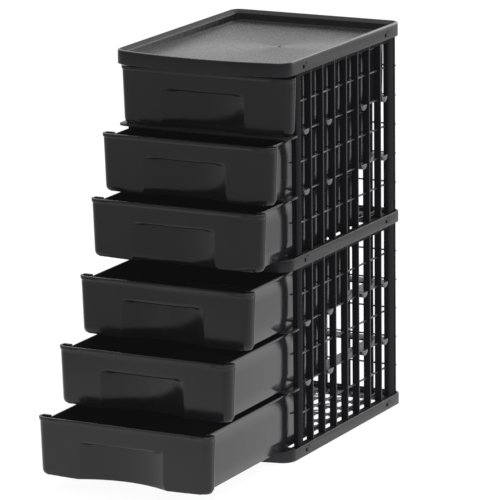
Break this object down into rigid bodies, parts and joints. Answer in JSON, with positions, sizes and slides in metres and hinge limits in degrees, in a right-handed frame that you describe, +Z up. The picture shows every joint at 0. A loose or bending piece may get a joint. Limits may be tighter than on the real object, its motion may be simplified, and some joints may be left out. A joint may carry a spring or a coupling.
{
  "type": "plastic drawer tower",
  "caption": "Free-standing plastic storage tower with lattice sides, a rimmed tray top and bow-fronted sliding drawers with scooped finger recesses.",
  "frame": {"origin": "on the floor under the middle of the cabinet, on the underside of the base frame's centre rib", "axes": "+Z up, -Y towards the drawer fronts, +X to the right when facing the drawer fronts"},
  "size_m": [0.26, 0.5874, 0.545],
  "materials": {
    "frame_plastic": "black injection-moulded polypropylene, satin",
    "tray_plastic": "black injection-moulded polypropylene, fine grained tray floor",
    "drawer_plastic": "black injection-moulded polypropylene, satin"
  },
  "bodies": {
    "cabinet": {"base_frame": "frame_plastic", "middle_frame": "frame_plastic", "top_tray": "tray_plastic", "lower_left_panel": "frame_plastic", "lower_right_panel": "frame_plastic", "lower_back_panel": "frame_plastic", "upper_left_panel": "frame_plastic", "upper_right_panel": "frame_plastic", "upper_back_panel": "frame_plastic", "shelf_1": "frame_plastic", "shelf_2": "frame_plastic", "shelf_3": "frame_plastic", "shelf_4": "frame_plastic"},
    "drawer_1": {"drawer_1": "drawer_plastic"},
    "drawer_2": {"drawer_2": "drawer_plastic"},
    "drawer_3": {"drawer_3": "drawer_plastic"},
    "drawer_4": {"drawer_4": "drawer_plastic"},
    "drawer_5": {"drawer_5": "drawer_plastic"},
    "drawer_6": {"drawer_6": "drawer_plastic"}
  },
  "joints": [
    {"name": "drawer_1_slide", "type": "slide", "parent": "cabinet", "child": "drawer_1", "axis": [0, -1, 0], "range_m": [0, 0.27]},
    {"name": "drawer_2_slide", "type": "slide", "parent": "cabinet", "child": "drawer_2", "axis": [0, -1, 0], "range_m": [-0.055, 0.215]},
    {"name": "drawer_3_slide", "type": "slide", "parent": "cabinet", "child": "drawer_3", "axis": [0, -1, 0], "range_m": [-0.089, 0.181]},
    {"name": "drawer_4_slide", "type": "slide", "parent": "cabinet", "child": "drawer_4", "axis": [0, -1, 0], "range_m": [-0.123, 0.147]},
    {"name": "drawer_5_slide", "type": "slide", "parent": "cabinet", "child": "drawer_5", "axis": [0, -1, 0], "range_m": [-0.182, 0.088]},
    {"name": "drawer_6_slide", "type": "slide", "parent": "cabinet", "child": "drawer_6", "axis": [0, -1, 0], "range_m": [-0.241, 0.029]}
  ]
}
